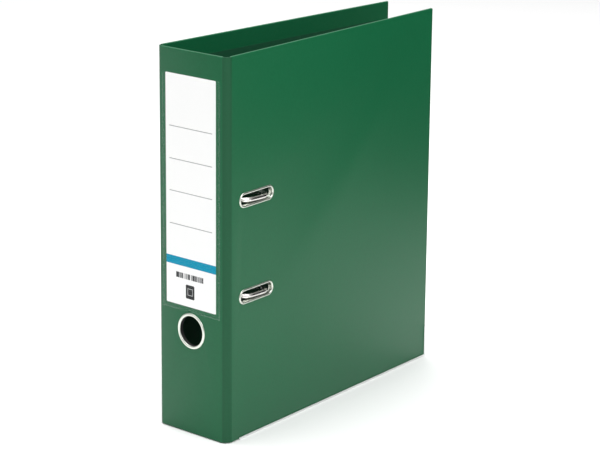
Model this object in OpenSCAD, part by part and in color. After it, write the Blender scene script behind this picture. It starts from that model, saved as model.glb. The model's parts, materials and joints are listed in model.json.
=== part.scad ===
// Lever arch file for A4 paper, standing shut on its bottom edge.
// X runs from the rear cover to the front cover, Y from the spine to the fore-edge, Z up.
// The origin is under the middle of the standing file.
// Every node is drawn from the middle of the spine's face and moved to the origin at the end.

/* [File] */
// Thickness over both covers, at the spine
spine_w = 78; // [66:1:100]
// Depth from the spine's face to the fore-edge
cover_d = 288; // [240:1:345]
// Height of the covers
file_h = 318; // [265:1:381]
// Thickness of the grey board
board_t = 2; // [1.6:0.1:2.5]
// Thickness of the plastic film that covers the board
film_t = 0.3; // [0.2:0.05:0.5]
// Width of the film turned in over the board's edges
turn_in = 15; // [8:1:25]
// Angle by which the front cover leans in while the file stands shut
front_lean = 5; // [0:0.5:6]

/* [Hinges] */
// Width that each folded corner takes from the spine's face
corner_w = 5; // [4:0.5:8]
// Depth that each folded corner takes from the cover
corner_d = 6; // [4:0.5:8]
// Thickness of the two films welded together in the fold
fold_t = 0.8; // [0.6:0.1:1.2]

/* [Edge guards] */
// Thickness of the steel guard
guard_t = 0.5; // [0.4:0.1:0.8]
// Height of the guard's sides over the cover's faces
guard_side = 1.4; // [1:0.1:4]
// Where the guard starts, measured from the spine's face
guard_start = 16; // [10:1:40]
// Height to which the guard runs up the fore-edge
guard_rise = 29; // [12:1:60]

/* [Slots in the front cover] */
// Length of a slot's opening
slot_len = 41; // [36:0.5:50]
// Width of a slot's opening
slot_w = 9; // [8.5:0.1:12]
// Middle of the slots, measured from the spine's face
slot_y = 37.7; // [36:0.1:40]
// Height of the slots' middle over the file's middle
slot_rise = 1; // [-10:1:10]

/* [Eyelets] */
// Width of the finger ring's rim outside its opening
rim_w = 2.5; // [2:0.1:4]
// Width of a slot ring's rim outside its opening
slot_rim = 1.8; // [1.5:0.1:4]
// Height of an eyelet's rim over the film
rim_h = 0.9; // [0.6:0.1:1.6]
// Wall of an eyelet's sleeve and of its washer
eyelet_t = 0.5; // [0.3:0.1:0.8]
// Opening of the finger ring in the spine
finger_bore = 25; // [20:0.5:30]
// Height of the finger ring's middle
finger_z = 88; // [60:1:95]

/* [Label] */
// Width of the card label
label_w = 55; // [40:1:60]
// Gap between the finger ring and the card
label_gap = 5; // [3:0.5:12]
// Gap between the card and the top of the file
label_top = 20; // [10:1:40]
// Thickness of the card
card_t = 0.3; // [0.2:0.05:0.5]
// Thickness of the clear pocket's film
pocket_t = 0.25; // [0.15:0.05:0.4]
// Margin of the pocket outside the card
pocket_rim = 4.5; // [3:0.5:5]

/* [Mechanism] */
// Distance between the punched holes, so between posts
hole_gap = 80; // [70:1:90]
// How far the mechanism sits below the slots' middle
mech_drop = 2; // [0:0.1:2.2]
// Length of the base plate
plate_len = 142; // [130:1:170]
// Thickness of the base plate's sheet
sheet_t = 1.2; // [1:0.1:1.5]
// Distance of the arches' axle from the spine's face
axle_y = 22; // [21:0.5:24]
// Height of the axle over the rear cover
axle_h = 5; // [5:0.1:7]
// Distance from the axle to the posts
arch_span = 33; // [31:0.5:35]
// Diameter of the arch wire
wire_d = 4; // [3.6:0.1:4.2]
// Outer diameter of a post
post_d = 5.5; // [5:0.1:5.8]
// Radius of the arch's bend over its leg
leg_bend = 14; // [11:0.5:18]
// Radius of the arch's bend over the post
tip_bend = 8; // [7:0.5:11]
// Length of the arch's straight end above the post
tip_len = 8; // [6:0.5:12]
// Clearance of an axle, pin or slide in its bore, on the radius
run_gap = 0.05; // [0.03:0.01:0.1]

/* [Lever] */
// Length of the lever from its pivot
lever_len = 75; // [60:1:80]
// Width of the lever
lever_w = 12; // [10:0.5:13]
// Distance from the axle to the lever's middle line
lever_off = 14; // [13:0.5:15]
// Diameter of the lever's pin and of the roller's pin
pin_d = 3; // [2.5:0.1:3.2]
// Diameter of the roller
roller_d = 8; // [7:0.5:9]
// Distance from the lever's pivot to the roller
roller_arm = 12; // [11:0.5:14]
// Angle of the roller's arm from straight down while the lever is shut
roller_turn = 50; // [45:1:60]
// Throw of the crank on the arch wire
crank = 10; // [8:0.5:11]

/* [Compressor] */
// Width of the compressor bar
bar_w = 14; // [12:1:18]
// Length of the compressor bar
bar_len = 104; // [96:1:130]
// Thickness of the compressor bar
bar_t = 3; // [2.5:0.1:4]

/* [Hidden] */
$fn = 64;
cut = 1;                                    // how far a cutting shape runs past the cut face
green = [0.18, 0.43, 0.31];
dark_green = [0.13, 0.33, 0.23];
steel = [0.75, 0.76, 0.77];
board_grey = [0.55, 0.53, 0.5];
wall = board_t + 2 * film_t;                // a covered board, film to film
half_w = spine_w / 2;
spine_half = half_w - corner_w;             // half of the spine's flat face
skin_z = guard_t;                           // the film starts on the guard's web
hinge_x = half_w - corner_w / 2;            // the folds' axes
hinge_y = corner_d / 2;
film_edge = 0.5;                            // film closing a board's hinged edge
slot_z = file_h / 2 + slot_rise;
mech_z = slot_z - mech_drop;
rear_in = -half_w + wall;                   // inner face of the rear cover
post_y = axle_y + arch_span;
wire_r = wire_d / 2;
crown_y = post_y - tip_bend;                // far end of the arch's straight crown
crown_proud = 1.2;                          // the crown's far end over the front cover's face
// height of the front cover's outer face over the rear cover, at the crown's far end
face_h = 2 * half_w - wall - (crown_y - hinge_y) * tan(front_lean);
crown_h = face_h + crown_proud - wire_r;
leg_len = crown_h - leg_bend - axle_h;
tip_h = crown_h - tip_bend - tip_len;       // end of the arch's full wire
seat_gap = 0.4;                             // arch's end to the post's top
post_top = tip_h - seat_gap;
nose_d = 2.4;                               // the arch's nose, which sits in the post
nose_len = 3;
post_bore = 3.4;
notch_len = nose_len + 1;                   // notch in the post's top, for the nose to swing out
foot_bend = 5;
crank_bend = 3;
crank_top = -6;                             // the crank's two arms, from the mechanism's middle
crank_end = -20;
roller_gap = 0.3;                           // from the roller to the crank and to the lever's walls
pivot_h = axle_h + wire_r + roller_gap + roller_d / 2 + roller_arm * cos(roller_turn);
roller_h = pivot_h - roller_arm * cos(roller_turn);
roller_z = -roller_arm * sin(roller_turn);
lever_y = axle_y + lever_off;
lug_gap = 0.4;                              // between the lever and each ear of its bracket
lug_r = 3.4;
lug_foot = 10;                              // how far an ear's foot runs along the plate
loop_t = 2.2;                               // wall of the loops over the axle
loop_w = 6;                                 // width of the two outer loops
loop_gap = 2;                               // between an outer loop and the arch's bend
loop_end = hole_gap / 2 - foot_bend - loop_gap;
mid_loop = [18, 22];                        // ends of the loop beyond the spring
collar_rim = 2;                             // width of the collar at a post's foot
plate_ridge = sheet_t;                      // width and height of the ridges along the plate's sides
ridge_end = 8;                              // where the ridges stop short of the plate's ends
plate_y0 = axle_y - 7;
plate_y1 = post_y + post_d / 2 + collar_rim + plate_ridge + run_gap;
rivet_d = 4;
rivet_z = plate_len / 2 - 8;
rivet_ys = [plate_y0 + 8, plate_y1 - 9];
rivet_head = 1.4;                           // height of the rivets' heads over the rear cover
rivet_head_d = 9.5;
rivet_foot_d = 7;                           // the rivets' flat ends on the plate
rivet_foot_t = 0.8;
ring_r = finger_bore / 2 + rim_w;
card_z0 = finger_z + ring_r + label_gap;
card_z1 = file_h - label_top;
bar_gap = 0.3;
foot_t = 1.2;                               // height of the collar at a post's foot
bar_h0 = sheet_t + foot_t + bar_gap;
mid_x = -rivet_head / 2;                    // middle of the whole file's bounds
mid_y = (cover_d + guard_t - rim_h) / 2;

// ---- places ----

module from_spine() translate([-mid_x, -mid_y, 0]) children();

// Turns the front cover about its fold, drawn upright, to where it leans
module leaning() translate([hinge_x, hinge_y, 0]) rotate([0, 0, front_lean])
    translate([-hinge_x, -hinge_y, 0]) children();

module front_side() from_spine() leaning() mirror([1, 0, 0]) children();

// X is the height over the rear cover and Z runs from the mechanism's middle
module on_rear() from_spine() translate([rear_in, 0, mech_z]) children();

module block(low, high) translate(low) cube(high - low);

// A bar along Y, its section in X and Z given as a flat shape
module along_y(y0, y1) translate([0, y1, 0]) rotate([90, 0, 0]) linear_extrude(y1 - y0) children();

// A rod or a bore along Y at a height and a Z
module rod_y(d, x, z, y0, y1) translate([x, y0, z]) rotate([-90, 0, 0]) cylinder(d = d, h = y1 - y0);

function leant(p) = [hinge_x + (p[0] - hinge_x) * cos(front_lean) - (p[1] - hinge_y) * sin(front_lean),
    hinge_y + (p[0] - hinge_x) * sin(front_lean) + (p[1] - hinge_y) * cos(front_lean)];

// ---- eyelets ----

// Half of an eyelet's section: X outward from the opening's middle, Y out of the covered board
module eyelet_section(r, rim) {
    dome_r = rim * rim / 8 / rim_h + rim_h / 2;
    translate([r, -wall - eyelet_t]) square([eyelet_t, wall + eyelet_t]);
    intersection() {
        translate([r + rim / 2, rim_h - dome_r]) circle(r = dome_r);
        translate([r, 0]) square([rim, rim_h]);
    }
}

module washer_section(r, rim) translate([r + eyelet_t, -wall - eyelet_t]) square([rim, eyelet_t]);

// Runs a section round a slot whose length is along Y and whose opening faces X
module round_slot(len, w) {
    reach = (len - w) / 2;
    rotate([0, 90, 0]) for (turn = [0, 180]) rotate([0, 0, turn]) translate([0, reach, 0]) {
        rotate_extrude(angle = 180) children();
        rotate([90, 0, 0]) linear_extrude(2 * reach) children();
    }
}

module slot_shape(len, w, t) {
    reach = (len - w) / 2;
    for (s = [-1, 1]) translate([0, s * reach, 0]) rotate([0, 90, 0]) cylinder(d = w, h = t);
    translate([0, -reach, -w / 2]) cube([t, 2 * reach, w]);
}

// A slot eyelet's place in the front cover, drawn on the far side and mirrored
module slot_place(side) front_side()
    translate([-half_w, slot_y, slot_z + side * hole_gap / 2]) mirror([1, 0, 0]) children();

module slot_ring(side) color(steel) slot_place(side)
    round_slot(slot_len, slot_w) eyelet_section(slot_w / 2, slot_rim);

module slot_washer(side) color(steel) slot_place(side)
    round_slot(slot_len, slot_w) washer_section(slot_w / 2, slot_rim);

module upper_slot_ring() slot_ring(1);

module lower_slot_ring() slot_ring(-1);

module upper_slot_washer() slot_washer(1);

module lower_slot_washer() slot_washer(-1);

module finger_place() from_spine() translate([0, 0, finger_z]) rotate([90, 0, 0]) children();

module finger_ring() color(steel) finger_place() rotate_extrude() eyelet_section(finger_bore / 2, rim_w);

module finger_ring_washer() color(steel) finger_place()
    rotate_extrude() washer_section(finger_bore / 2, rim_w);

// ---- covered boards ----

// Cuts for the slots' sleeves, in a front cover drawn on the far side
module slot_cuts() for (s = [-1, 1])
    translate([-half_w - cut, slot_y, slot_z + s * hole_gap / 2])
        slot_shape(slot_len + 2 * eyelet_t, slot_w + 2 * eyelet_t, wall + 2 * cut);

module rivet_cuts() for (y = rivet_ys, s = [-1, 1])
    translate([-half_w - cut, y, mech_z + s * rivet_z]) rotate([0, 90, 0])
        cylinder(d = rivet_d, h = wall + 2 * cut);

module cover_board() block([-half_w + film_t, corner_d + film_edge, skin_z + film_t],
    [-half_w + film_t + board_t, cover_d - film_t, file_h - film_t]);

// The inner sheet lies in the frame that the turned-in film leaves
module cover_lining() block([rear_in - film_t, corner_d, skin_z + turn_in],
    [rear_in, cover_d - turn_in, file_h - turn_in]);

module cover_skin() difference() {
    block([-half_w, corner_d, skin_z], [rear_in, cover_d, file_h]);
    cover_board();
    block([rear_in - film_t, corner_d - cut, skin_z + turn_in],
        [rear_in + cut, cover_d - turn_in, file_h - turn_in]);
}

// A channel round the bottom edge, turned up the fore-edge at the corner
module edge_guard() difference() {
    union() {
        block([-half_w - guard_t, guard_start, 0],
            [rear_in + guard_t, cover_d + guard_t, guard_t + guard_side]);
        block([-half_w - guard_t, cover_d - guard_side, 0],
            [rear_in + guard_t, cover_d + guard_t, guard_rise]);
    }
    block([-half_w, guard_start - cut, skin_z], [rear_in, cover_d, file_h]);
}

module front_board() color(board_grey) front_side() difference() {
    cover_board();
    slot_cuts();
}

module front_skin() color(green) front_side() difference() {
    cover_skin();
    slot_cuts();
}

module front_lining() color(dark_green) front_side() difference() {
    cover_lining();
    slot_cuts();
}

module front_edge_guard() color(steel) front_side() edge_guard();

module rear_board() color(board_grey) from_spine() difference() {
    cover_board();
    rivet_cuts();
}

module rear_skin() color(green) from_spine() difference() {
    cover_skin();
    rivet_cuts();
}

module rear_lining() color(dark_green) from_spine() difference() {
    cover_lining();
    rivet_cuts();
}

module rear_edge_guard() color(steel) from_spine() edge_guard();

module finger_cut() translate([0, wall + cut, finger_z]) rotate([90, 0, 0])
    cylinder(d = finger_bore + 2 * eyelet_t, h = wall + 2 * cut);

module spine_board() color(board_grey) from_spine() difference() {
    block([film_edge - spine_half, film_t, skin_z + film_t],
        [spine_half - film_edge, film_t + board_t, file_h - film_t]);
    finger_cut();
}

module spine_lining() color(dark_green) from_spine() difference() {
    block([-spine_half, wall - film_t, skin_z + turn_in], [spine_half, wall, file_h - turn_in]);
    finger_cut();
}

module spine_skin() color(green) from_spine() difference() {
    block([-spine_half, 0, skin_z], [spine_half, wall, file_h]);
    block([film_edge - spine_half, film_t, skin_z + film_t],
        [spine_half - film_edge, film_t + board_t, file_h - film_t]);
    block([-spine_half - cut, wall - film_t, skin_z + turn_in],
        [spine_half + cut, wall + cut, file_h - turn_in]);
    finger_cut();
}

module front_hinge() color(green) from_spine() translate([0, 0, skin_z]) linear_extrude(file_h - skin_z)
    polygon([[spine_half, 0], leant([half_w, corner_d]), leant([half_w - fold_t, corner_d]),
        [spine_half, fold_t]]);

module rear_hinge() color(green) from_spine() translate([0, 0, skin_z]) linear_extrude(file_h - skin_z)
    polygon([[-spine_half, 0], [-spine_half, fold_t], [-half_w + fold_t, corner_d], [-half_w, corner_d]]);

// ---- label ----

module spine_label() color("white") from_spine()
    block([-label_w / 2, -card_t, card_z0], [label_w / 2, 0, card_z1]);

// A clear sheet over the card, welded down along its sides and its bottom and open at the top
module label_pocket() color([0.9, 0.95, 0.95, 0.4]) from_spine() difference() {
    block([-label_w / 2 - pocket_rim, -card_t - pocket_t, card_z0 - pocket_rim],
        [label_w / 2 + pocket_rim, 0, card_z1]);
    block([-label_w / 2, -card_t, card_z0], [label_w / 2, cut, card_z1 + cut]);
}

// ---- base plate ----

// A loop pressed up over the axle
module axle_loop(z0, z1) translate([0, 0, z0]) linear_extrude(z1 - z0) difference() {
    union() {
        translate([axle_h, axle_y]) circle(r = wire_r + loop_t);
        translate([0, axle_y - wire_r - loop_t]) square([axle_h, wire_d + 2 * loop_t]);
    }
    translate([axle_h, axle_y]) circle(r = wire_r + run_gap);
}

// One ear of the lever's bracket
module bracket_lug(y0) difference() {
    along_y(y0, y0 + sheet_t) {
        translate([pivot_h, 0]) circle(r = lug_r);
        polygon([[0, -lug_r], [pivot_h, -lug_r], [pivot_h, lug_r], [pivot_h / 2, lug_foot], [0, lug_foot]]);
    }
    rod_y(pin_d, pivot_h, 0, y0 - cut, y0 + sheet_t + cut);
}

module plate_outline() {
    corner = 5;
    for (y = [plate_y0 + corner, plate_y1 - corner], z = [-1, 1])
        translate([y, z * (plate_len / 2 - corner)]) circle(r = corner);
    translate([plate_y0 + corner, -plate_len / 2]) square([plate_y1 - plate_y0 - 2 * corner, plate_len]);
    translate([plate_y0, corner - plate_len / 2]) square([plate_y1 - plate_y0, plate_len - 2 * corner]);
}

module base_plate() color(steel) on_rear() difference() {
    union() {
        rotate([90, 0, 90]) linear_extrude(sheet_t) plate_outline();
        for (y = [plate_y0, plate_y1 - plate_ridge])
            block([0, y, ridge_end - plate_len / 2],
                [sheet_t + plate_ridge, y + plate_ridge, plate_len / 2 - ridge_end]);
        axle_loop(loop_end - loop_w, loop_end);
        axle_loop(-loop_end, loop_w - loop_end);
        axle_loop(mid_loop[0], mid_loop[1]);
        bracket_lug(lever_y - lever_w / 2 - lug_gap - sheet_t);
        bracket_lug(lever_y + lever_w / 2 + lug_gap);
    }
    for (y = rivet_ys, s = [-1, 1]) translate([-cut, y, s * rivet_z]) rotate([0, 90, 0])
        cylinder(d = rivet_d, h = sheet_t + 2 * cut);
}

// Each rivet has a domed head outside the cover and a flat one on the plate
module plate_rivets() color(steel) on_rear() for (y = rivet_ys, s = [-1, 1])
    translate([0, y, s * rivet_z]) rotate([0, 90, 0]) {
        dome_r = rivet_head_d * rivet_head_d / 8 / rivet_head + rivet_head / 2;
        translate([0, 0, -wall]) cylinder(d = rivet_d, h = wall + sheet_t);
        translate([0, 0, sheet_t]) cylinder(d = rivet_foot_d, h = rivet_foot_t);
        intersection() {
            translate([0, 0, dome_r - wall - rivet_head]) sphere(r = dome_r);
            translate([0, 0, -wall - rivet_head]) cylinder(d = rivet_head_d, h = rivet_head);
        }
    }

// A hollow post with a collar at its foot, notched at the top towards the spine
module post(side) color(steel) on_rear() translate([sheet_t, post_y, side * hole_gap / 2]) rotate([0, 90, 0])
    difference() {
        union() {
            cylinder(d = post_d, h = post_top - sheet_t);
            cylinder(d = post_d + 2 * collar_rim, h = foot_t);
        }
        translate([0, 0, foot_t]) cylinder(d = post_bore, h = post_top);
        translate([-nose_d / 2 - seat_gap, -post_d, post_top - sheet_t - notch_len])
            cube([nose_d + 2 * seat_gap, post_d, notch_len + cut]);
    }

module upper_post() post(1);

module lower_post() post(-1);

// ---- arches ----

// A quarter bend of the arch wire about +Z, from +X to +Y
module wire_bend(r) rotate_extrude(angle = 90) translate([r, 0]) circle(r = wire_r);

module wire_x(x0, x1) translate([x0, 0, 0]) rotate([0, 90, 0]) cylinder(r = wire_r, h = x1 - x0);

module wire_y(y0, y1) translate([0, y0, 0]) rotate([-90, 0, 0]) cylinder(r = wire_r, h = y1 - y0);

module wire_z(z0, z1) translate([0, 0, z0]) cylinder(r = wire_r, h = z1 - z0);

// One arch in its own plane, its leg starting over the axle
module arch_loop() {
    wire_x(foot_bend, leg_len);
    translate([leg_len, leg_bend, 0]) rotate([0, 0, -90]) wire_bend(leg_bend);
    translate([crown_h - axle_h, 0, 0]) wire_y(leg_bend, arch_span - tip_bend);
    translate([crown_h - axle_h - tip_bend, arch_span - tip_bend, 0]) wire_bend(tip_bend);
    translate([0, arch_span, 0]) wire_x(tip_h - axle_h, tip_h - axle_h + tip_len);
    translate([tip_h - axle_h, arch_span, 0]) rotate([0, -90, 0]) cylinder(d = nose_d, h = nose_len - 1);
    translate([tip_h - axle_h - nose_len + 1, arch_span, 0]) rotate([0, -90, 0])
        cylinder(d1 = nose_d, d2 = nose_d / 2, h = 1);
}

// Bends from the axle into a leg
module arch_foot() translate([foot_bend, 0, hole_gap / 2 - foot_bend]) rotate([90, 0, 0])
    rotate([0, 0, 90]) wire_bend(foot_bend);

// One arm of the crank, leading from the axle down to the bar
module crank_arm() rotate([0, 90, 0]) {
    translate([-crank_bend, crank_bend, 0]) rotate([0, 0, -90]) wire_bend(crank_bend);
    wire_y(crank_bend, crank - crank_bend);
    translate([crank_bend, crank - crank_bend, 0]) rotate([0, 0, 90]) wire_bend(crank_bend);
}

module arch() color(steel) on_rear() translate([axle_h, axle_y, 0]) {
    for (s = [0, 1]) mirror([0, 0, s]) {
        translate([0, 0, hole_gap / 2]) arch_loop();
        arch_foot();
    }
    wire_z(crank_top + crank_bend, hole_gap / 2 - foot_bend);
    wire_z(foot_bend - hole_gap / 2, crank_end - crank_bend);
    translate([0, crank, 0]) wire_z(crank_end + crank_bend, crank_top - crank_bend);
    translate([0, 0, crank_top]) crank_arm();
    translate([0, 0, crank_end]) mirror([0, 0, 1]) crank_arm();
}

// ---- spring ----

spring_r = wire_r + 1.1;                    // middle of the spring's wire from the axle
spring_wire = 1;
spring_turns = 7;
spring_pitch = 1.7;
steps = 10;                                 // rings in each turn
tail_bend = 2.5;                            // where a tail leaves the coil, from the axle
back_tail = 5.5;                            // end of the tail that rests on the plate
crank_tail = 6;                             // end of the tail that lies under the crank

// The spring runs from its fixed tail on the plate, round the axle, to its tail under the crank
spring_path = concat(
    [for (y = [back_tail, tail_bend]) [-spring_r, -y, spring_turns * spring_pitch]],
    [for (i = [0:spring_turns * steps]) let(a = 360 * i / steps)
        [-spring_r * cos(a), spring_r * sin(a), spring_pitch * (spring_turns - i / steps)]],
    [[-spring_r, tail_bend, -1.5], [-spring_r, crank_tail, -7]]);

function unit(v) = v / norm(v);

function path_way(p, i) = unit(p[min(i + 1, len(p) - 1)] - p[max(i - 1, 0)]);

// A ring of 8 points square to the path; the path never runs along X
function path_ring(p, i, r) = let(t = path_way(p, i), n = unit(cross(t, [0.31, 0.17, 0.94])), b = cross(t, n))
    [for (k = [0:7]) p[i] + r * (cos(45 * k) * n + sin(45 * k) * b)];

module tube_along(p, r) {
    n = len(p);
    points = [for (i = [0:n - 1]) each path_ring(p, i, r)];
    sides = [for (i = [0:n - 2], k = [0:7]) let(j = (k + 1) % 8)
        [8 * i + k, 8 * i + j, 8 * i + 8 + j, 8 * i + 8 + k]];
    ends = [[for (k = [7:-1:0]) k], [for (k = [0:7]) 8 * (n - 1) + k]];
    polyhedron(points, concat(sides, ends));
}

module arch_spring() color([0.6, 0.6, 0.62]) on_rear() translate([axle_h, axle_y, 0])
    tube_along(spring_path, spring_wire / 2);

// ---- lever ----

lever_top = pivot_h + 3.5;                  // the lever's upper face
lever_low = pivot_h - 2.5;                  // lower edge of its walls
lever_y0 = lever_y - lever_w / 2;
lever_y1 = lever_y + lever_w / 2;
lever_back = 3.4;                           // the lever's end behind its pivot
lever_cheek = 3.2;                          // radius of its walls round a pin
pin_out = 0.3;                              // how far the roller's pin stands out
pin_head = 1;                               // width and thickness of the heads on the lever's pin
curl_r = 9;                                 // bend of the finger end
curl_turn = 55;
curl_z = (curl_r + sheet_t) * sin(curl_turn) - lever_len;
wall_end = curl_z - 2;                      // where the side walls have run out
wall_full = curl_z + 14;                    // where they reach their full height

// A strip joining the pivot to the roller's pin
module arm_strip() let(n = lever_cheek * [sin(roller_turn), -cos(roller_turn)]) polygon([
    [pivot_h, 0] + n, [roller_h, roller_z] + n, [roller_h, roller_z] - n, [pivot_h, 0] - n]);

// Side wall of the lever's channel, with the roller's arm
module lever_wall(y0) along_y(y0, y0 + sheet_t) {
    polygon([[lever_top, lever_back], [lever_top, wall_end], [lever_top - sheet_t, wall_end],
        [lever_low, wall_full], [lever_low, lever_back]]);
    translate([pivot_h, 0]) circle(r = lever_cheek);
    translate([roller_h, roller_z]) circle(r = lever_cheek);
    arm_strip();
}

// The curled strip of the finger end, with a round tip
module lever_curl() intersection() {
    along_y(lever_y0, lever_y1) translate([lever_top + curl_r, curl_z]) intersection() {
        difference() {
            circle(r = curl_r + sheet_t);
            circle(r = curl_r);
        }
        polygon([[0, 0], [-2 * curl_r, 0], [-2 * curl_r, -3 * curl_r],
            3 * curl_r * [-cos(curl_turn), -sin(curl_turn)]]);
    }
    union() {
        block([lever_low, lever_y0, lever_w / 2 - lever_len],
            [lever_top + 2 * curl_r, lever_y1, curl_z + cut]);
        translate([lever_low, lever_y, lever_w / 2 - lever_len]) rotate([0, 90, 0])
            cylinder(d = lever_w, h = 3 * curl_r);
    }
}

module lever() color(steel) on_rear() difference() {
    union() {
        lever_wall(lever_y0);
        lever_wall(lever_y1 - sheet_t);
        block([lever_top - sheet_t, lever_y0, curl_z], [lever_top, lever_y1, lever_back]);
        lever_curl();
    }
    rod_y(pin_d + 2 * run_gap, pivot_h, 0, lever_y0 - cut, lever_y1 + cut);
    rod_y(pin_d, roller_h, roller_z, lever_y0 - cut, lever_y1 + cut);
}

module lever_pin() color(steel) on_rear() {
    out = lever_w / 2 + lug_gap + sheet_t;
    rod_y(pin_d, pivot_h, 0, lever_y - out, lever_y + out);
    rod_y(pin_d + 2 * pin_head, pivot_h, 0, lever_y - out - pin_head, lever_y - out);
    rod_y(pin_d + 2 * pin_head, pivot_h, 0, lever_y + out, lever_y + out + pin_head);
}

module roller() color([0.2, 0.2, 0.2]) on_rear() difference() {
    rod_y(roller_d, roller_h, roller_z, lever_y0 + sheet_t + roller_gap, lever_y1 - sheet_t - roller_gap);
    rod_y(pin_d + 2 * run_gap, roller_h, roller_z, lever_y0, lever_y1);
}

// Its riveted ends stand a little out of the lever's walls
module roller_pin() color(steel) on_rear()
    rod_y(pin_d, roller_h, roller_z, lever_y0 - pin_out, lever_y1 + pin_out);

// ---- compressor ----

bar_top = bar_h0 + bar_t;
catch_w = 9;
catch_t = 2.2;
catch_travel = 4;
catch_gap = 0.2;
grip_w = 4;                                 // width of the catch's thumb ridge
boss_rim = 2.5;                             // wall of the boss round the upper post
rail_t = 1.4;
rail_z0 = -hole_gap / 2 - 10;               // ends of the rails beside the catch
rail_z1 = -hole_gap / 2 + 22;
catch_z0 = rail_z0 + 1;                     // ends of the catch while it is shut
catch_z1 = rail_z1 - 6;

// A rod or a bore standing on the rear cover at one of the posts
module at_post(side, d, h0, h1) translate([h0, post_y, side * hole_gap / 2]) rotate([0, 90, 0])
    cylinder(d = d, h = h1 - h0);

// A flat bar with round ends, a boss round the upper post and rails for the catch at the lower one
module compressor_bar() color([0.15, 0.15, 0.16]) on_rear() difference() {
    union() {
        block([bar_h0, post_y - bar_w / 2, (bar_w - bar_len) / 2],
            [bar_top, post_y + bar_w / 2, (bar_len - bar_w) / 2]);
        for (s = [-1, 1]) translate([bar_h0, post_y, s * (bar_len - bar_w) / 2]) rotate([0, 90, 0])
            cylinder(d = bar_w, h = bar_t);
        at_post(1, post_d + 2 * boss_rim, bar_h0, bar_top + catch_t);
        for (s = [-1, 1]) translate([0, post_y + s * (catch_w / 2 + catch_gap + rail_t / 2), 0])
            block([bar_h0, -rail_t / 2, rail_z0], [bar_top + catch_t, rail_t / 2, rail_z1]);
    }
    for (s = [-1, 1]) at_post(s, post_d + 2 * run_gap, bar_h0 - cut, bar_top + catch_t + cut);
}

// A slide that locks the bar on the lower post, with a long hole for its travel and a thumb ridge
module compressor_catch() color([0.15, 0.15, 0.16]) on_rear() difference() {
    low = bar_top + catch_gap / 2;
    union() {
        block([low, post_y - catch_w / 2, catch_z0], [low + catch_t, post_y + catch_w / 2, catch_z1]);
        block([low, post_y - catch_w / 2, catch_z1 - grip_w],
            [low + 2 * catch_t, post_y + catch_w / 2, catch_z1]);
    }
    for (z = [0, -catch_travel]) translate([0, 0, z])
        at_post(-1, post_d + 2 * catch_gap, low - cut, low + catch_t + cut);
    block([low - cut, post_y - post_d / 2 - catch_gap, -hole_gap / 2 - catch_travel],
        [low + catch_t + cut, post_y + post_d / 2 + catch_gap, -hole_gap / 2]);
}

spine_board();
spine_skin();
spine_lining();
finger_ring();
finger_ring_washer();
spine_label();
label_pocket();
front_hinge();
rear_hinge();
front_board();
front_skin();
front_lining();
front_edge_guard();
upper_slot_ring();
lower_slot_ring();
upper_slot_washer();
lower_slot_washer();
rear_board();
rear_skin();
rear_lining();
rear_edge_guard();
base_plate();
plate_rivets();
upper_post();
lower_post();
arch();
arch_spring();
lever();
lever_pin();
roller();
roller_pin();
compressor_bar();
compressor_catch();
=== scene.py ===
import json
from math import asin, atan2, cos, hypot, pi, radians, sin

import bpy
from mathutils import Matrix, Vector

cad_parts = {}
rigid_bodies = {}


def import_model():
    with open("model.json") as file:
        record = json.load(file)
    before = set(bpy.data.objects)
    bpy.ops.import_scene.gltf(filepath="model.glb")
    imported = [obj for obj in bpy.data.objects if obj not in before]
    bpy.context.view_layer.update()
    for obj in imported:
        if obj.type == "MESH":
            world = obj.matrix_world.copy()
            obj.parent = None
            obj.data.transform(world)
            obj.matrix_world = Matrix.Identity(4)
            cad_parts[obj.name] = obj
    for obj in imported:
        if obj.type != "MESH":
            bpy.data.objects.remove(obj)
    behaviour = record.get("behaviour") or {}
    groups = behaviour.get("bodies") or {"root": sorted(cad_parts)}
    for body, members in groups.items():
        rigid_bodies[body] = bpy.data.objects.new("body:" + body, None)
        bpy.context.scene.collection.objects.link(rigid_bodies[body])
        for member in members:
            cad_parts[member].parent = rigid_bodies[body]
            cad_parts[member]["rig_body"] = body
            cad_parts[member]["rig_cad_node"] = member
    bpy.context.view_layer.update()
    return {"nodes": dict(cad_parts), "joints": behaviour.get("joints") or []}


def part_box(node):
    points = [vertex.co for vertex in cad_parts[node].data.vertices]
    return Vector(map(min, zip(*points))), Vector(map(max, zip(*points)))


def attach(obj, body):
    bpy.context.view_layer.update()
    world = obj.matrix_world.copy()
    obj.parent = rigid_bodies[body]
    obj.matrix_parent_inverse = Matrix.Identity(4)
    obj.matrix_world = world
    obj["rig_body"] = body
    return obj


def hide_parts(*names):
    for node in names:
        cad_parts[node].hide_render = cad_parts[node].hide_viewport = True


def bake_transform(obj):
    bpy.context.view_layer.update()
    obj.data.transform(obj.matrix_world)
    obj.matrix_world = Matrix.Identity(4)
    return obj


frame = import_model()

nodes = frame["nodes"]
joints = {joint["name"]: joint for joint in frame["joints"]}
mm = 0.001
weld = 0.002 * mm  # points closer than this are merged


# Modelling steps that several pieces share

def clearSelection():
    active = bpy.context.view_layer.objects.active
    if active and active.mode != "OBJECT":
        bpy.ops.object.mode_set(mode="OBJECT")
    bpy.ops.object.select_all(action="DESELECT")


def activate(piece):
    clearSelection()
    piece.select_set(True)
    bpy.context.view_layer.objects.active = piece


def settle(piece):  # leaves the object at the origin, with its place in its mesh
    activate(piece)
    bpy.ops.object.transform_apply(location=True, rotation=True, scale=True)
    return piece


def addBlock(name, low, high):
    clearSelection()
    low, high = Vector(low), Vector(high)
    bpy.ops.mesh.primitive_cube_add(size=1, location=(low + high) / 2)
    piece = bpy.context.object
    piece.name = piece.data.name = name
    piece.scale = high - low
    return settle(piece)


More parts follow.
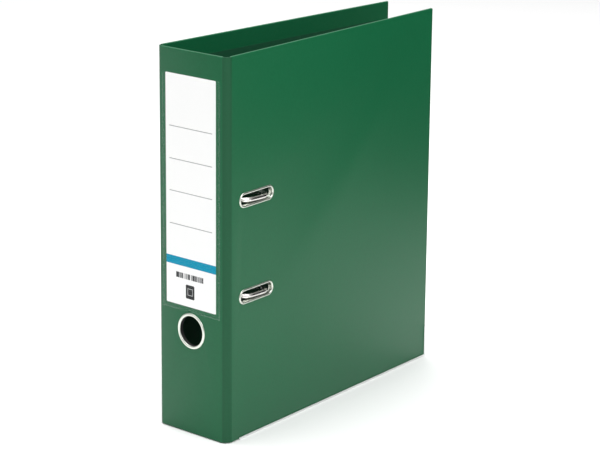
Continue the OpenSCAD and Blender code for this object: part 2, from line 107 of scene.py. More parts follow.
def startEdit(piece, kind="FACE", test=None):  # selects the faces, edges or points that pass the test
    activate(piece)
    bpy.ops.object.mode_set(mode="EDIT")
    bpy.ops.mesh.select_mode(type=kind)
    bpy.ops.mesh.select_all(action="DESELECT" if test else "SELECT")
    if test is None:
        return
    bpy.ops.object.mode_set(mode="OBJECT")
    mesh = piece.data
    if kind == "FACE":
        for face in mesh.polygons:
            face.select = test(face)
    elif kind == "EDGE":
        for edge in mesh.edges:
            edge.select = test(*(mesh.vertices[i].co for i in edge.vertices))
    else:
        for point in mesh.vertices:
            point.select = test(point.co)
    bpy.ops.object.mode_set(mode="EDIT")


def endEdit():
    bpy.ops.object.mode_set(mode="OBJECT")


def applyModifier(piece, kind, **settings):
    activate(piece)
    modifier = piece.modifiers.new(kind.lower(), kind)
    for key, value in settings.items():
        setattr(modifier, key, value)
    bpy.ops.object.modifier_apply(modifier=modifier.name)


def smooth(piece, angle=35):
    activate(piece)
    bpy.ops.object.shade_smooth_by_angle(angle=radians(angle))
    applyModifier(piece, "WEIGHTED_NORMAL", keep_sharp=True)


def roundEdges(piece, width, angle=40):
    applyModifier(piece, "BEVEL", width=width, segments=2, limit_method="ANGLE",
                  angle_limit=radians(angle), use_clamp_overlap=False)
    smooth(piece)


def cutWith(piece, cutter):
    applyModifier(piece, "BOOLEAN", operation="DIFFERENCE", solver="EXACT", object=cutter)
    bpy.data.objects.remove(cutter)


def faceOutward(piece):
    startEdit(piece)
    bpy.ops.mesh.remove_doubles(threshold=weld)
    bpy.ops.mesh.normals_make_consistent(inside=False)
    endEdit()


def placeOn(piece, origin, along, out):  # turns a piece's X along one direction and its Z out of a face
    along, out = Vector(along).normalized(), Vector(out).normalized()
    turn = Matrix((along, out.cross(along), out)).transposed().to_4x4()
    piece.matrix_world = Matrix.Translation(origin) @ turn
    return settle(piece)


def turnAbout(piece, pivot, angle):
    turn = Matrix.Rotation(angle, 4, "Z")
    piece.matrix_world = Matrix.Translation(pivot) @ turn @ Matrix.Translation(-pivot)
    return settle(piece)


def traceLine(name, points):  # extrudes one vertex from point to point
    points = [Vector(point) for point in points]
    clearSelection()
    bpy.ops.mesh.primitive_plane_add(size=mm, location=points[0])
    piece = bpy.context.object
    piece.name = piece.data.name = name
    settle(piece)
    startEdit(piece, "VERT")
    bpy.ops.mesh.merge(type="CENTER")
    for before, after in zip(points, points[1:]):
        bpy.ops.mesh.extrude_vertices_move(TRANSFORM_OT_translate={"value": after - before})
    endEdit()
    return piece


def stretch(piece, reach):  # pulls the two halves of a round shape apart along X
    if reach:
        for side in (1, -1):
            startEdit(piece, "VERT", lambda co: co.x * side > 0)
            bpy.ops.transform.translate(value=(side * reach, 0, 0))
            endEdit()


def spinRound(name, profile, steps, reach):  # spins a closed profile of (radius, height) about Z
    piece = traceLine(name, [(r, 0, h) for r, h in profile + profile[:1]])
    startEdit(piece, "VERT")
    bpy.ops.mesh.spin(steps=steps, angle=2 * pi, center=(0, 0, 0), axis=(0, 0, 1))
    endEdit()
    piece.rotation_euler.z = pi / steps
    settle(piece)
    stretch(piece, reach)
    faceOutward(piece)
    return piece


def slotCutter(diameter, reach, depth, steps):
    clearSelection()
    bpy.ops.mesh.primitive_cylinder_add(vertices=steps, radius=diameter / 2, depth=depth)
    cutter = bpy.context.object
    cutter.rotation_euler.z = pi / steps
    settle(cutter)
    stretch(cutter, reach)
    return cutter


def tubeAlong(name, points, radius):
    traceLine(name, points)
    bpy.ops.object.convert(target="CURVE")
    curve = bpy.context.object.data
    curve.bevel_depth = radius
    curve.bevel_resolution = 3
    curve.use_fill_caps = True
    bpy.ops.object.convert(target="MESH")
    piece = bpy.context.object
    piece.name = name
    faceOutward(piece)
    smooth(piece, angle=50)
    return piece


def finishPiece(piece, body, slot, finish, *replaced):
    piece.data.materials.clear()
    piece.data.materials.append(finish)
    if replaced:
        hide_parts(*replaced)
    if body:
        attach(piece, body)
    return piece


def refineNode(node, name, finish, slot, edge, flatten):  # a welded copy of a node with its edges broken
    body = nodes[node]["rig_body"]
    piece = nodes[node].copy()
    piece.data = nodes[node].data.copy()
    bpy.context.scene.collection.objects.link(piece)
    piece.name = piece.data.name = name
    piece.parent = None
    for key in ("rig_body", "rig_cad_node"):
        del piece[key]
    startEdit(piece)
    bpy.ops.mesh.remove_doubles(threshold=weld)
    if flatten:
        bpy.ops.mesh.dissolve_limited(angle_limit=radians(1))
    endEdit()
    roundEdges(piece, edge)
    return finishPiece(piece, body, slot, finish, node)


# Finishes

def maths(operation, *values):
    finish = next(value.finish for value in values if isinstance(value, Signal))
    return finish.node("Math", {"operation": operation}, values)


class Signal:  # a socket whose sums are written as Python
    def __init__(self, finish, socket):
        self.finish, self.socket = finish, socket

    def __add__(self, other):
        return maths("ADD", self, other)

    def __radd__(self, other):
        return maths("ADD", other, self)

    def __sub__(self, other):
        return maths("SUBTRACT", self, other)

    def __rsub__(self, other):
        return maths("SUBTRACT", other, self)

    def __mul__(self, other):
        return maths("MULTIPLY", self, other)

    def __rmul__(self, other):
        return maths("MULTIPLY", other, self)

    def __truediv__(self, other):
        return maths("DIVIDE", self, other)

    def __gt__(self, other):
        return maths("GREATER_THAN", self, other)

    def __lt__(self, other):
        return maths("LESS_THAN", self, other)

    def __abs__(self):
        return maths("ABSOLUTE", self)


class Finish:
    def __init__(self, name, **fixed):
        self.material = bpy.data.materials.new(name)
        self.material.use_nodes = True
        self.tree = self.material.node_tree
        self.shader = self.tree.nodes["Principled BSDF"]
        for socket, value in fixed.items():
            self.set(socket.replace("_", " "), value)

    def feed(self, socket, value):
        if isinstance(value, Signal):
            self.tree.links.new(value.socket, socket)
        else:
            socket.default_value = value

    def set(self, socket, value):
        self.feed(self.shader.inputs[socket], value)

    def node(self, kind, settings=None, inputs=(), output=0):
        made = self.tree.nodes.new("ShaderNode" + kind)
        for key, value in (settings or {}).items():
            setattr(made, key, value)
        for key, value in inputs.items() if isinstance(inputs, dict) else enumerate(inputs):
            self.feed(made.inputs[key], value)
        return Signal(self, made.outputs[output])

    def place(self):
        return self.node("TexCoord", output="Object")

    def axes(self):  # X, Y and Z of the place, in metres
        place = self.place()
        return [self.node("SeparateXYZ", None, [place], output=axis) for axis in range(3)]

    def noise(self, scale, detail=2.0, rough=0.5, stretched=None):
        place = self.place()
        if stretched:
            place = self.node("Mapping", None, {"Vector": place, "Scale": stretched})
        settings = {"Vector": place, "Scale": scale, "Detail": detail, "Roughness": rough}
        return self.node("TexNoise", None, settings)

    def mix(self, share, first, second):
        return self.node("Mix", {"data_type": "RGBA"}, {0: share, 6: first, 7: second}, output=2)

    def bump(self, height, distance, strength=1.0):
        made = self.node("Bump", None, {"Strength": strength, "Distance": distance, "Height": height})
        self.set("Normal", made)


def between(signal, low, high):
    return (signal > low) * (signal < high)


filmLook = {"deep": (0.003, 0.090, 0.032), "pale": (0.007, 0.128, 0.050), "wornAndHighlight": (0.012, 0.13, 0.06),
            "specular": 0.28, "rough": 0.40, "clouds": 7, "grain": 1300, "coarser": 3.1, "emboss": 0.09 * mm,
            "wornAndHighlightDepth": 0.8 * mm, "patches": 160, "patchLevel": 0.52, "wornAndHighlightShare": 0.35}


def filmFinish(name, shadeFactor=1.0, grain=1.0):
    finish = Finish(name, Specular_IOR_Level=filmLook["specular"])
    # the first factor scales all three film colours; below 1 it paints shade, as on the folds
    deep, pale, wornAndHighlight = (tuple(shadeFactor * c for c in filmLook[key]) + (1,) for key in ("deep", "pale", "wornAndHighlight"))
    clouds = finish.noise(filmLook["clouds"], 3)
    fine = finish.noise(filmLook["grain"], 3, 0.6)
    coarse = finish.noise(filmLook["grain"] / filmLook["coarser"], 2)
    colour = finish.mix(clouds * 0.45 + coarse * 0.55, deep, pale)
    z = finish.axes()[2]
    low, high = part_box("rear_skin")[0].z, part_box("rear_skin")[1].z
    # a band along the top and bottom edges, partly real wear and partly painted highlight
    edge = 1 - between(z, low + filmLook["wornAndHighlightDepth"], high - filmLook["wornAndHighlightDepth"])
    patches = finish.noise(filmLook["patches"], 4) > filmLook["patchLevel"]
    colour = finish.mix(edge * patches * filmLook["wornAndHighlightShare"], colour, wornAndHighlight)  # the top and bottom edges turn paler in patches: partly wear, partly a painted highlight
    finish.set("Base Color", colour)
    finish.set("Roughness", filmLook["rough"] + 0.10 * (coarse - 0.5) + 0.06 * (fine - 0.5))
    finish.bump(fine * 0.6 + coarse * 0.4, filmLook["emboss"] * grain)
    return finish.material


liningLook = {"deep": (0.004, 0.062, 0.026, 1), "pale": (0.007, 0.082, 0.036, 1), "specular": 0.3,
              "rough": 0.5, "fibre": 900, "clouds": 9, "emboss": 0.015 * mm}


def liningFinish():
    finish = Finish("greenLining", Specular_IOR_Level=liningLook["specular"])
    fibre = finish.noise(liningLook["fibre"], 4, 0.6)
    clouds = finish.noise(liningLook["clouds"], 3)
    mottle = clouds * 0.6 + fibre * 0.4
    finish.set("Base Color", finish.mix(mottle, liningLook["deep"], liningLook["pale"]))
    finish.set("Roughness", liningLook["rough"] + 0.15 * fibre)
    finish.bump(fibre, liningLook["emboss"])
    return finish.material


boardLook = {"dark": (0.16, 0.15, 0.13, 1), "light": (0.34, 0.32, 0.29, 1), "specular": 0.2,
             "rough": 0.85, "fibre": 700, "flecks": 260, "fleckLevel": 0.64, "tooth": 0.06 * mm}


def boardFinish():
    finish = Finish("greyBoard", Specular_IOR_Level=boardLook["specular"])
    fibre = finish.noise(boardLook["fibre"], 6, 0.65)
    flecks = finish.noise(boardLook["flecks"], 3) > boardLook["fleckLevel"]
    mottle = fibre * 0.7 + flecks * 0.3
    finish.set("Base Color", finish.mix(mottle, boardLook["dark"], boardLook["light"]))
    finish.set("Roughness", boardLook["rough"] + 0.1 * fibre)
    finish.bump(fibre, boardLook["tooth"])
    return finish.material


steelLook = {"dull": 0.82, "brushing": 60, "polishing": 420, "smudges": 45, "tooth": 0.004 * mm}


def steelFinish(name, colour, rough, brushed=None, scratch=0.5):
    finish = Finish(name, Metallic=1.0)
    dull = tuple(steelLook["dull"] * c for c in colour) + (1,)
    streaks = finish.noise(steelLook["brushing" if brushed else "polishing"], 3, 0.6, stretched=brushed)
    smudges = finish.noise(steelLook["smudges"], 3)
    finish.set("Base Color", finish.mix(smudges * 0.6 + streaks * 0.3, tuple(colour) + (1,), dull))
    finish.set("Roughness", rough + 0.12 * smudges + 0.10 * scratch * (streaks - 0.5))
    finish.bump(streaks, steelLook["tooth"], scratch)
    return finish.material


plasticLook = {"specular": 0.5, "lighter": 1.25, "fine": 1900, "clouds": 60}


def plasticFinish(name, colour, rough=0.42, texture=0.02 * mm):
    finish = Finish(name, Specular_IOR_Level=plasticLook["specular"])
    fine = finish.noise(plasticLook["fine"], 2)
    clouds = finish.noise(plasticLook["clouds"], 2)
    lighter = tuple(plasticLook["lighter"] * c for c in colour) + (1,)
    finish.set("Base Color", finish.mix(clouds, tuple(colour) + (1,), lighter))
    finish.set("Roughness", rough + 0.12 * fine)
    finish.bump(fine, texture)
    return finish.material


greenFilm = filmFinish("greenFilm")
# the folds get a darker copy of the green film: painted shade in the crease between spine and covers
foldShadedFilm = filmFinish("foldShadedFilm", 0.72, 0.6)
greenLining = liningFinish()
greyBoard = boardFinish()
guardSteel = steelFinish("guardSteel", (0.86, 0.87, 0.87), 0.30, brushed=(1, 0.06, 1))
eyeletSteel = steelFinish("eyeletSteel", (0.78, 0.82, 0.74), 0.26, scratch=0.2)
# a near-black steel that paints the shade inside the finger ring's sleeve
sleeveShadeSteel = steelFinish("sleeveShadeSteel", (0.12, 0.12, 0.12), 0.5)
wireSteel = steelFinish("wireSteel", (0.80, 0.78, 0.76), 0.17, scratch=0.2)
plateSteel = steelFinish("plateSteel", (0.76, 0.77, 0.79), 0.26, brushed=(1, 1, 0.05))
springSteel = steelFinish("springSteel", (0.45, 0.46, 0.48), 0.3)
blackPlastic = plasticFinish("blackPlastic", (0.012, 0.012, 0.013))
rollerPlastic = plasticFinish("rollerPlastic", (0.62, 0.62, 0.58), 0.3, 0.006 * mm)
print("finishes: film, lining, board, steel, plastic")


# Covers and spine: boards wrapped in film, with a lining glued over the film's turned-in edges

spineLow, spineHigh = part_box("spine_skin")
rearLow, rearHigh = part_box("rear_skin")
wall = rearHigh.x - rearLow.x
frontHinge = Vector(joints["front_cover_hinge"]["pos_m"])
rearHinge = Vector(joints["rear_cover_hinge"]["pos_m"])
middleX = (frontHinge.x + rearHinge.x) / 2
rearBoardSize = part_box("rear_board")[1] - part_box("rear_board")[0]
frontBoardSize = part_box("front_board")[1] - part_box("front_board")[0]
lean = (asin(frontBoardSize.x / hypot(rearBoardSize.x, rearBoardSize.y))
        - atan2(rearBoardSize.x, rearBoardSize.y))  # how far the front cover leans in at rest

covered = {"edge": 0.7 * mm, "liningProud": 0.12 * mm, "liningSunk": 0.15 * mm, "liningEdge": 0.1 * mm}
slots = {"length": 41 * mm, "width": 9 * mm, "rim": 1.8 * mm, "height": 0.9 * mm, "sleeve": 0.5 * mm}
slotReach = (slots["length"] - slots["width"]) / 2
fingerRing = {"rim": 2.5 * mm, "height": 0.9 * mm, "sleeve": 0.5 * mm}
ringLow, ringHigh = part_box("finger_ring")
fingerRadius = (ringHigh.z - ringLow.z) / 2 - fingerRing["rim"]
holes = {"tight": 0.1 * mm,  # how much a hole is cut under its sleeve's size, so that no gap shows
         "slotDepth": 4 * wall, "slotSteps": 64, "fingerDepth": 6 * wall, "fingerSteps": 96}


def mirrored(point):
    return Vector((2 * middleX - point.x, point.y, point.z))


def upright(point):  # where a point of the leaning front cover lies once the cover is square
    return frontHinge + Matrix.Rotation(-lean, 3, "Z") @ (point - frontHinge)


def slotCentre(node):
    low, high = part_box(node)
    ring = upright((low + high) / 2)
    return Vector((mirrored(rearLow).x, ring.y, ring.z))


slotCentres = {node: slotCentre(node) for node in ("upper_slot_ring", "lower_slot_ring")}


def slab(name, low, high, edge):
    piece = addBlock(name, low, high)
    startEdit(piece, "EDGE")
    bpy.ops.mesh.bevel(offset=edge, segments=3)
    endEdit()
    smooth(piece)
    return piece


def cutSlots(piece):
    width = slots["width"] + 2 * slots["sleeve"] - holes["tight"]
    for centre in slotCentres.values():
        cutter = slotCutter(width, slotReach, holes["slotDepth"], holes["slotSteps"])
        placeOn(cutter, centre, (0, 1, 0), (1, 0, 0))
        cutWith(piece, cutter)


def cutFingerHole(piece):
    diameter = 2 * (fingerRadius + fingerRing["sleeve"]) - holes["tight"]
    cutter = slotCutter(diameter, 0, holes["fingerDepth"], holes["fingerSteps"])
    placeOn(cutter, (ringLow + ringHigh) / 2, (1, 0, 0), (0, -1, 0))
    cutWith(piece, cutter)


def linedBox(node, out):  # the lining's box, sunk a little into the film's face and a little proud of it
    low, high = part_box(node)
    out = Vector(out)
    face = Vector((high.x if out.x else low.x, high.y if out.y else low.y, low.z))
    return face - covered["liningSunk"] * out, high + covered["liningProud"] * out


def frontCorners(low, high):  # the front cover's box while it is square, from the rear cover's
    return Vector((mirrored(high).x, low.y, low.z)), Vector((mirrored(low).x, high.y, high.z))


def makeCovers():
    film = slab("rear_cover_film", rearLow, rearHigh, covered["edge"])
    finishPiece(film, "rear_cover", "green_film", greenFilm, "rear_skin")
    lowLining, highLining = linedBox("rear_lining", (1, 0, 0))
    lining = slab("rear_cover_lining", lowLining, highLining, covered["liningEdge"])
    finishPiece(lining, "rear_cover", "green_lining", greenLining, "rear_lining")

    film = slab("front_cover_film", *frontCorners(rearLow, rearHigh), covered["edge"])
    cutSlots(film)
    turnAbout(film, frontHinge, lean)
    finishPiece(film, "front_cover", "green_film", greenFilm, "front_skin")
    lining = slab("front_cover_lining", *frontCorners(lowLining, highLining), covered["liningEdge"])
    cutSlots(lining)
    turnAbout(lining, frontHinge, lean)
    finishPiece(lining, "front_cover", "green_lining", greenLining, "front_lining")


def makeSpine():
    film = slab("spine_film", spineLow, spineHigh, covered["edge"])
    cutFingerHole(film)
    finishPiece(film, "spine", "green_film", greenFilm, "spine_skin")
    lining = slab("spine_inner_lining", *linedBox("spine_lining", (0, 1, 0)), covered["liningEdge"])
    cutFingerHole(lining)
    finishPiece(lining, "spine", "green_lining", greenLining, "spine_lining")


makeCovers()
makeSpine()
print("covers and spine: film and lining")


# Folds: the film runs on between the boards, curved round the corner at each hinge; the strip is fixed in
# place

fold = {"sunk": 0.45 * mm, "inset": 0.15 * mm, "thick": 0.8 * mm, "tuck": 1.3 * mm, "bow": 0.9 * mm,
        "short": 0.3 * mm, "steps": 14}


def makeFold(name, node, side):
    spineEdge = Vector((spineHigh.x if side > 0 else spineLow.x, spineLow.y, 0))
    coverEdge = Vector((rearLow.x, rearLow.y, 0))
    if side > 0:
        coverEdge = mirrored(coverEdge)
    start = spineEdge + Vector((side * fold["inset"], fold["sunk"], 0))
    end = coverEdge + Vector((-side * fold["sunk"], -fold["inset"], 0))
    out = Vector((side * (end.y - start.y), -abs(end.x - start.x), 0)).normalized()
    bow = (start + end) / 2 + 2 * fold["bow"] * out
    path = [start - Vector((side * fold["tuck"], 0, 0))]
    for i in range(fold["steps"] + 1):
        t = i / fold["steps"]
        path.append((1 - t) ** 2 * start + 2 * t * (1 - t) * bow + t ** 2 * end)
    path.append(end + Vector((0, fold["tuck"], 0)))
    foldLow, foldHigh = spineLow.z + fold["short"], spineHigh.z - fold["short"]
    piece = traceLine(name, [(p.x, p.y, foldLow) for p in path])
    startEdit(piece, "EDGE")
    bpy.ops.mesh.extrude_region_move(TRANSFORM_OT_translate={"value": (0, 0, foldHigh - foldLow)})
    bpy.ops.mesh.select_all(action="SELECT")
    bpy.ops.mesh.normals_make_consistent(inside=False)
    endEdit()
    normal = piece.data.polygons[len(piece.data.polygons) // 2].normal
    inward = 1 if normal.dot(out) < 0 else -1  # the strip thickens away from the outside
    applyModifier(piece, "SOLIDIFY", thickness=fold["thick"], offset=inward, use_even_offset=True)
    faceOutward(piece)
    smooth(piece, angle=40)
    # the strip's darker film is painted shade
    finishPiece(piece, None, "green_film", foldShadedFilm, node)
    if side > 0:
        coverEdge = frontHinge + Matrix.Rotation(lean, 3, "Z") @ (coverEdge - frontHinge)
    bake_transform(piece)


makeFold("front_fold", "front_hinge", 1)
makeFold("rear_fold", "rear_hinge", -1)
print("folds: two film strips")


# Eyelets: a rolled rim outside, a sleeve through the board and a washer it is clenched over

clench = {"steps": 72, "beadSteps": 12, "seat": 0.02 * mm, "past": 0.9, "soft": 0.15 * mm, "lip": 0.1 * mm,
          "sleeveShadeDepth": 0.1 * mm}


def rimProfile(radius, size):
    half = size["rim"] / 2
    outer, foot = radius + size["sleeve"], -wall - size["sleeve"] * clench["past"]
    turns = [pi * i / clench["beadSteps"] for i in range(clench["beadSteps"] + 1)]
    bead = [(radius + half - half * cos(turn), size["height"] * sin(turn)) for turn in turns]
    return [(radius, foot)] + bead + [(outer, -clench["seat"]), (outer, foot)]


def washerProfile(radius, size):
    inner, outer = radius + 0.2 * size["sleeve"], radius + size["sleeve"] + size["rim"]
    top, low = -wall - clench["seat"], -wall - size["sleeve"]
    soft, lip = clench["soft"], low - clench["lip"]
    return [(inner, top), (inner, low + soft), (inner + soft, lip), (inner + 2.5 * soft, lip),
            (inner + 4 * soft, low), (outer - soft, low), (outer, low + soft), (outer, top)]


def paintSleeveShade(piece):  # painted shade: behind its rim, inside the hole, the finger ring is given a near-black steel
    piece.data.materials.append(sleeveShadeSteel)
    startEdit(piece, "FACE", lambda face: face.center.y > spineLow.y + clench["sleeveShadeDepth"])
    piece.active_material_index = 1
    bpy.ops.object.material_slot_assign()
    endEdit()


def makeEyelet(ring, washer, body, radius, size, origin, along, out, reach):
    for node, profile in ((ring, rimProfile(radius, size)), (washer, washerProfile(radius, size))):
        piece = spinRound(node + "_metal", profile, clench["steps"], reach)
        placeOn(piece, origin, along, out)
        if body == "front_cover":
            turnAbout(piece, frontHinge, lean)
        smooth(piece, angle=40)
        finishPiece(piece, body, "eyelet_steel", eyeletSteel, node)
        if node == "finger_ring":
            paintSleeveShade(piece)


fingerCentre = Vector(((ringLow.x + ringHigh.x) / 2, spineLow.y, (ringLow.z + ringHigh.z) / 2))
makeEyelet("finger_ring", "finger_ring_washer", "spine", fingerRadius, fingerRing,
           fingerCentre, (1, 0, 0), (0, -1, 0), 0)
for level in ("upper", "lower"):
    makeEyelet(level + "_slot_ring", level + "_slot_washer", "front_cover", slots["width"] / 2, slots,
               slotCentres[level + "_slot_ring"], (0, 1, 0), (1, 0, 0), slotReach)
print("eyelets: finger ring and two slot rings")


# Label: a card behind a clear pocket welded to the spine

cardLow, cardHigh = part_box("spine_label")
card = {"corner": 0.8 * mm, "edge": 0.06 * mm,  # heights are over the floor, widths from the card's middle
        "lines": (255.3 * mm, 228.6 * mm, 202.2 * mm, 175.0 * mm), "halfLine": 23.5 * mm,
        "halfThick": 0.3 * mm, "band": (141.2 * mm, 148.2 * mm), "bars": (130.8 * mm, 135.4 * mm),
        "barsX": (-16.6 * mm, 14.8 * mm), "barWidth": 0.36 * mm, "barLevel": 0.26,
        "mark": (-1.0 * mm, 120.6 * mm), "halfMark": (4.8 * mm, 5.8 * mm), "markCorner": 1 * mm,
        "markFrame": (2.4 * mm, 2.9 * mm)}
cardLook = {"paper": (0.93, 0.93, 0.925, 1), "bright": (0.96, 0.96, 0.955, 1),
            "rule": (0.20, 0.20, 0.21, 1), "blue": (0.0, 0.28, 0.44, 1),
            "barInk": (0.02, 0.02, 0.025, 1), "markInk": (0.012, 0.012, 0.014, 1),
            "specular": 0.1, "rough": 0.42, "fibre": 1500, "tooth": 0.006 * mm}


def ruledLines(x, z):
    lines = 0
    for height in card["lines"]:
        lines = lines + (abs(z - height) < card["halfThick"])
    return lines * (abs(x) < card["halfLine"])


def plainBars(finish, x, z):  # bars of chance widths that carry no code
    column = maths("FLOOR", x / card["barWidth"])
    shade = finish.node("TexWhiteNoise", {"noise_dimensions": "1D"}, {"W": column})
    return (shade > card["barLevel"]) * between(z, *card["bars"]) * between(x, *card["barsX"])


def squareMark(x, z):  # a dark block with round corners and a paler frame in it
    across, up = abs(x - card["mark"][0]), abs(z - card["mark"][1])
    corner = card["markCorner"]
    beyond = [maths("MAXIMUM", across - card["halfMark"][0] + corner, 0.0),
              maths("MAXIMUM", up - card["halfMark"][1] + corner, 0.0)]
    mark = (beyond[0] * beyond[0] + beyond[1] * beyond[1]) < (corner * corner)
    return mark * (1 - between(maths("MAXIMUM", across, up), *card["markFrame"]) * 0.5)


def cardFinish():
    finish = Finish("printedCard", Specular_IOR_Level=cardLook["specular"])
    x, _, z = finish.axes()
    x = x - (cardLow.x + cardHigh.x) / 2
    fibre = finish.noise(cardLook["fibre"], 4, 0.6)
    colour = finish.mix(fibre, cardLook["paper"], cardLook["bright"])
    colour = finish.mix(ruledLines(x, z) * 0.9, colour, cardLook["rule"])
    colour = finish.mix(between(z, *card["band"]), colour, cardLook["blue"])
    colour = finish.mix(plainBars(finish, x, z) * 0.97, colour, cardLook["barInk"])
    colour = finish.mix(squareMark(x, z) * 0.98, colour, cardLook["markInk"])
    finish.set("Base Color", colour)
    finish.set("Roughness", cardLook["rough"] + 0.12 * fibre)
    finish.bump(fibre, cardLook["tooth"])
    return finish.material


pocket = {"edge": 2.4 * mm, "slope": 1.2 * mm, "round": 0.08 * mm, "clear": 0.02 * mm,
          "sideWeld": (0.5 * mm, 1.5 * mm), "footWeld": (0.3 * mm, 1.2 * mm), "gap": (-12 * mm, 9 * mm)}
pocketLook = {"plain": (0.50, 0.66, 0.58, 1), "welded": (0.70, 0.84, 0.77, 1), "specular": 0.2,
              "rough": 0.14, "alpha": 0.01, "ribs": 240, "ripple": 0.02 * mm}
pocketLow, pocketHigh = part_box("label_pocket")


def pocketFinish():
    finish = Finish("clearFilm", Specular_IOR_Level=pocketLook["specular"])
    x, _, z = finish.axes()
    x = x - (cardLow.x + cardHigh.x) / 2
    half = (pocketHigh.x - pocketLow.x) / 2
    ribs = finish.noise(pocketLook["ribs"], 2, stretched=(1, 1, 0.2))
    sides = between(abs(x), half - pocket["sideWeld"][1], half - pocket["sideWeld"][0])
    foot = between(z, *(pocketLow.z + rise for rise in pocket["footWeld"])) * (1 - between(x, *pocket["gap"]))
    welds = maths("MAXIMUM", sides, foot)
    finish.set("Base Color", finish.mix(welds, pocketLook["plain"], pocketLook["welded"]))
    finish.set("Alpha", pocketLook["alpha"] + 0.035 * welds + 0.01 * ribs)
    finish.set("Roughness", pocketLook["rough"] + 0.12 * ribs + 0.2 * welds)
    finish.bump(ribs, pocketLook["ripple"])
    return finish.material


def makeLabel():
    piece = addBlock("spine_card", cardLow, cardHigh)
    startEdit(piece, "EDGE", lambda a, b: abs(a.y - b.y) > 0.1 * mm)  # the four that run through the card
    bpy.ops.mesh.bevel(offset=card["corner"], segments=5)
    endEdit()
    roundEdges(piece, card["edge"])
    finishPiece(piece, "spine", "label_card", cardFinish(), "spine_label")

    low = Vector((pocketLow.x, pocketLow.y + (cardHigh.y - cardLow.y), pocketLow.z))
    high = Vector((pocketHigh.x, spineLow.y - pocket["clear"], pocketHigh.z))
    piece = addBlock("clear_pocket", low, high)
    startEdit(piece, "FACE", lambda face: face.normal.y < -0.9)  # the outer face
    bpy.ops.mesh.inset(thickness=pocket["edge"])
    bpy.ops.mesh.inset(thickness=pocket["slope"])
    bpy.ops.transform.translate(value=(0, pocketLow.y - low.y, 0))
    endEdit()
    roundEdges(piece, pocket["round"], angle=30)
    finishPiece(piece, "spine", "pocket_film", pocketFinish(), "label_pocket")


makeLabel()
print("label: card and pocket")


# Guards and mechanism: the nodes themselves, with their sharp edges broken as the real ones are

refined = {"front_edge_guard": ("front_cover_guard", guardSteel, "guard_steel", 0.18 * mm),
           "rear_edge_guard": ("rear_cover_guard", guardSteel, "guard_steel", 0.18 * mm),
           "base_plate": ("mechanism_plate", plateSteel, "plate_steel", 0.2 * mm),
           "plate_rivets": ("mechanism_rivets", plateSteel, "plate_steel", 0.2 * mm),
           "upper_post": ("upper_post_tube", plateSteel, "plate_steel", 0.18 * mm),
           "lower_post": ("lower_post_tube", plateSteel, "plate_steel", 0.18 * mm),
           "lever": ("lever_arm", plateSteel, "plate_steel", 0.18 * mm),
           "lever_pin": ("lever_pivot", plateSteel, "plate_steel", 0.2 * mm),
           "roller_pin": ("roller_axle", plateSteel, "plate_steel", 0.15 * mm),
           "roller": ("lever_roller", rollerPlastic, "roller_plastic", 0.25 * mm),
           "compressor_bar": ("sheet_compressor", blackPlastic, "black_plastic", 0.35 * mm),
           "compressor_catch": ("compressor_slide_catch", blackPlastic, "black_plastic", 0.3 * mm),
           "arch": ("arch_wire", wireSteel, "arch_wire", 0.3 * mm)}
for node, (name, finish, slot, edge) in refined.items():
    refineNode(node, name, finish, slot, edge, flatten=node != "arch")

for node in ("front_board", "rear_board", "spine_board"):
    nodes[node].data.materials.clear()
    nodes[node].data.materials.append(greyBoard)
print("guards and mechanism:", len(refined), "pieces")


# Spring: one tail on the plate, its coils round the axle, the other tail under the crank

spring = {"radius": 3.1 * mm, "wire": 0.5 * mm, "turns": 7, "pitch": 1.7 * mm, "steps": 24,
          "plateTail": (-5.5 * mm, -2.5 * mm),  # Y of its two ends, from the axle
          "crankTail": ((2.5 * mm, -1.5 * mm), (6 * mm, -7 * mm))}  # Y and Z of its points, from the axle


def makeSpring():
    axle = Vector(joints["arch_swing"]["pos_m"])
    top = spring["turns"] * spring["pitch"]
    path = [(-spring["radius"], y, top) for y in spring["plateTail"]]
    for i in range(spring["turns"] * spring["steps"] + 1):
        turn = 2 * pi * i / spring["steps"]
        path.append((-spring["radius"] * cos(turn), spring["radius"] * sin(turn),
                     spring["pitch"] * (spring["turns"] - i / spring["steps"])))
    path += [(-spring["radius"], y, z) for y, z in spring["crankTail"]]
    piece = tubeAlong("arch_coil_spring", [axle + Vector(point) for point in path], spring["wire"])
    finishPiece(piece, None, "spring_steel", springSteel, "arch_spring")
    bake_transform(piece)


makeSpring()
print("spring: one coil")


# Floor, lights and camera

stage = {"floor": 12.0, "sunk": 0.05 * mm, "white": (0.96, 0.96, 0.96, 1), "soiled": (0.93, 0.93, 0.93, 1),
         "black": (0.01, 0.01, 0.01, 1), "sky": 0.5}
softboxes = {"overhead": {"place": (-0.5, 0.1, 2.2), "target": (0, 0, 0), "size": (2.2, 2.2), "power": 60},
             "right": {"place": (1.5, -0.3, 1.7), "target": (0, 0, 0.15), "size": (0.9, 0.9), "power": 24}}
flag = {"place": (0.53, 0.60, 0.5), "facing": (-0.66, -0.75, 0), "size": (1.2, 1.0)}
view = {"lens": 136.69, "sensor": 36.0, "place": (1.2272, -1.4002, 0.6583), "azimuth": 41.47, "down": 15.32,
        "roll": 0.54}


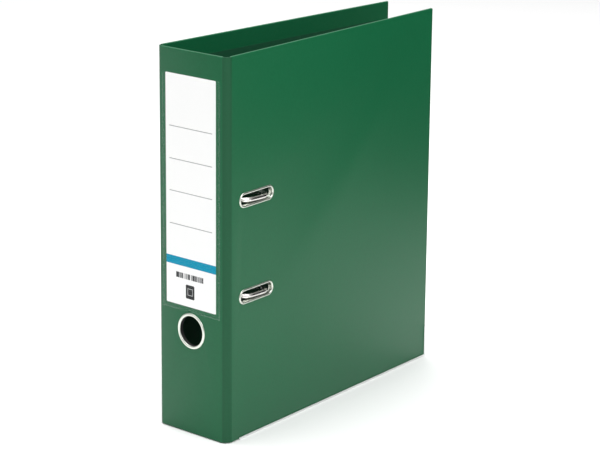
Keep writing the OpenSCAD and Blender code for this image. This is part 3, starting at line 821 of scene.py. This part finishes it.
def makeStage():
    clearSelection()
    bpy.ops.mesh.primitive_plane_add(size=stage["floor"], location=(0, 0, -stage["sunk"]))
    floor = bpy.context.object
    floor.name = "floor"
    finish = Finish("whitePaper", Roughness=0.9, Specular_IOR_Level=0.1)
    finish.set("Base Color", finish.mix(finish.noise(3, 2) * 0.02, stage["white"], stage["soiled"]))
    floor.data.materials.append(finish.material)
    world = bpy.data.worlds.new("studio")
    bpy.context.scene.world = world
    world.use_nodes = True
    sky = world.node_tree.nodes["Background"]
    sky.inputs["Color"].default_value = (1, 1, 1, 1)
    sky.inputs["Strength"].default_value = stage["sky"]


def addFlag():  # a black board behind the file that darkens what the front cover reflects
    clearSelection()
    bpy.ops.mesh.primitive_plane_add(size=1)
    board = bpy.context.object
    board.name = "flag"
    board.scale = (*flag["size"], 1)
    board.location = flag["place"]
    board.rotation_euler = Vector(flag["facing"]).to_track_quat("Z", "Y").to_euler()
    board.visible_camera = False
    finish = Finish("flag", Roughness=0.9, Specular_IOR_Level=0.0)
    finish.set("Base Color", stage["black"])
    board.data.materials.append(finish.material)


def addSoftbox(name, softbox):
    clearSelection()
    bpy.ops.object.light_add(type="AREA", location=softbox["place"])
    light = bpy.context.object
    light.name = name
    aim = Vector(softbox["target"]) - Vector(softbox["place"])
    light.rotation_euler = aim.to_track_quat("-Z", "Y").to_euler()
    light.data.shape = "RECTANGLE"
    light.data.size, light.data.size_y = softbox["size"]
    light.data.energy = softbox["power"]
    light.visible_camera = False


def makeCamera():
    clearSelection()
    bpy.ops.object.camera_add(location=view["place"])
    camera = bpy.context.object
    turn = (Matrix.Rotation(radians(view["azimuth"]), 4, "Z")
            @ Matrix.Rotation(radians(90 - view["down"]), 4, "X")
            @ Matrix.Rotation(radians(view["roll"]), 4, "Z"))
    camera.rotation_euler = turn.to_euler()
    camera.data.lens = view["lens"]
    camera.data.sensor_width = view["sensor"]
    bpy.context.scene.camera = camera


makeStage()
for name, softbox in softboxes.items():
    addSoftbox(name, softbox)
addFlag()
bpy.context.scene.view_settings.view_transform = "Standard"
makeCamera()
print("stage: floor, softboxes, flag and camera")
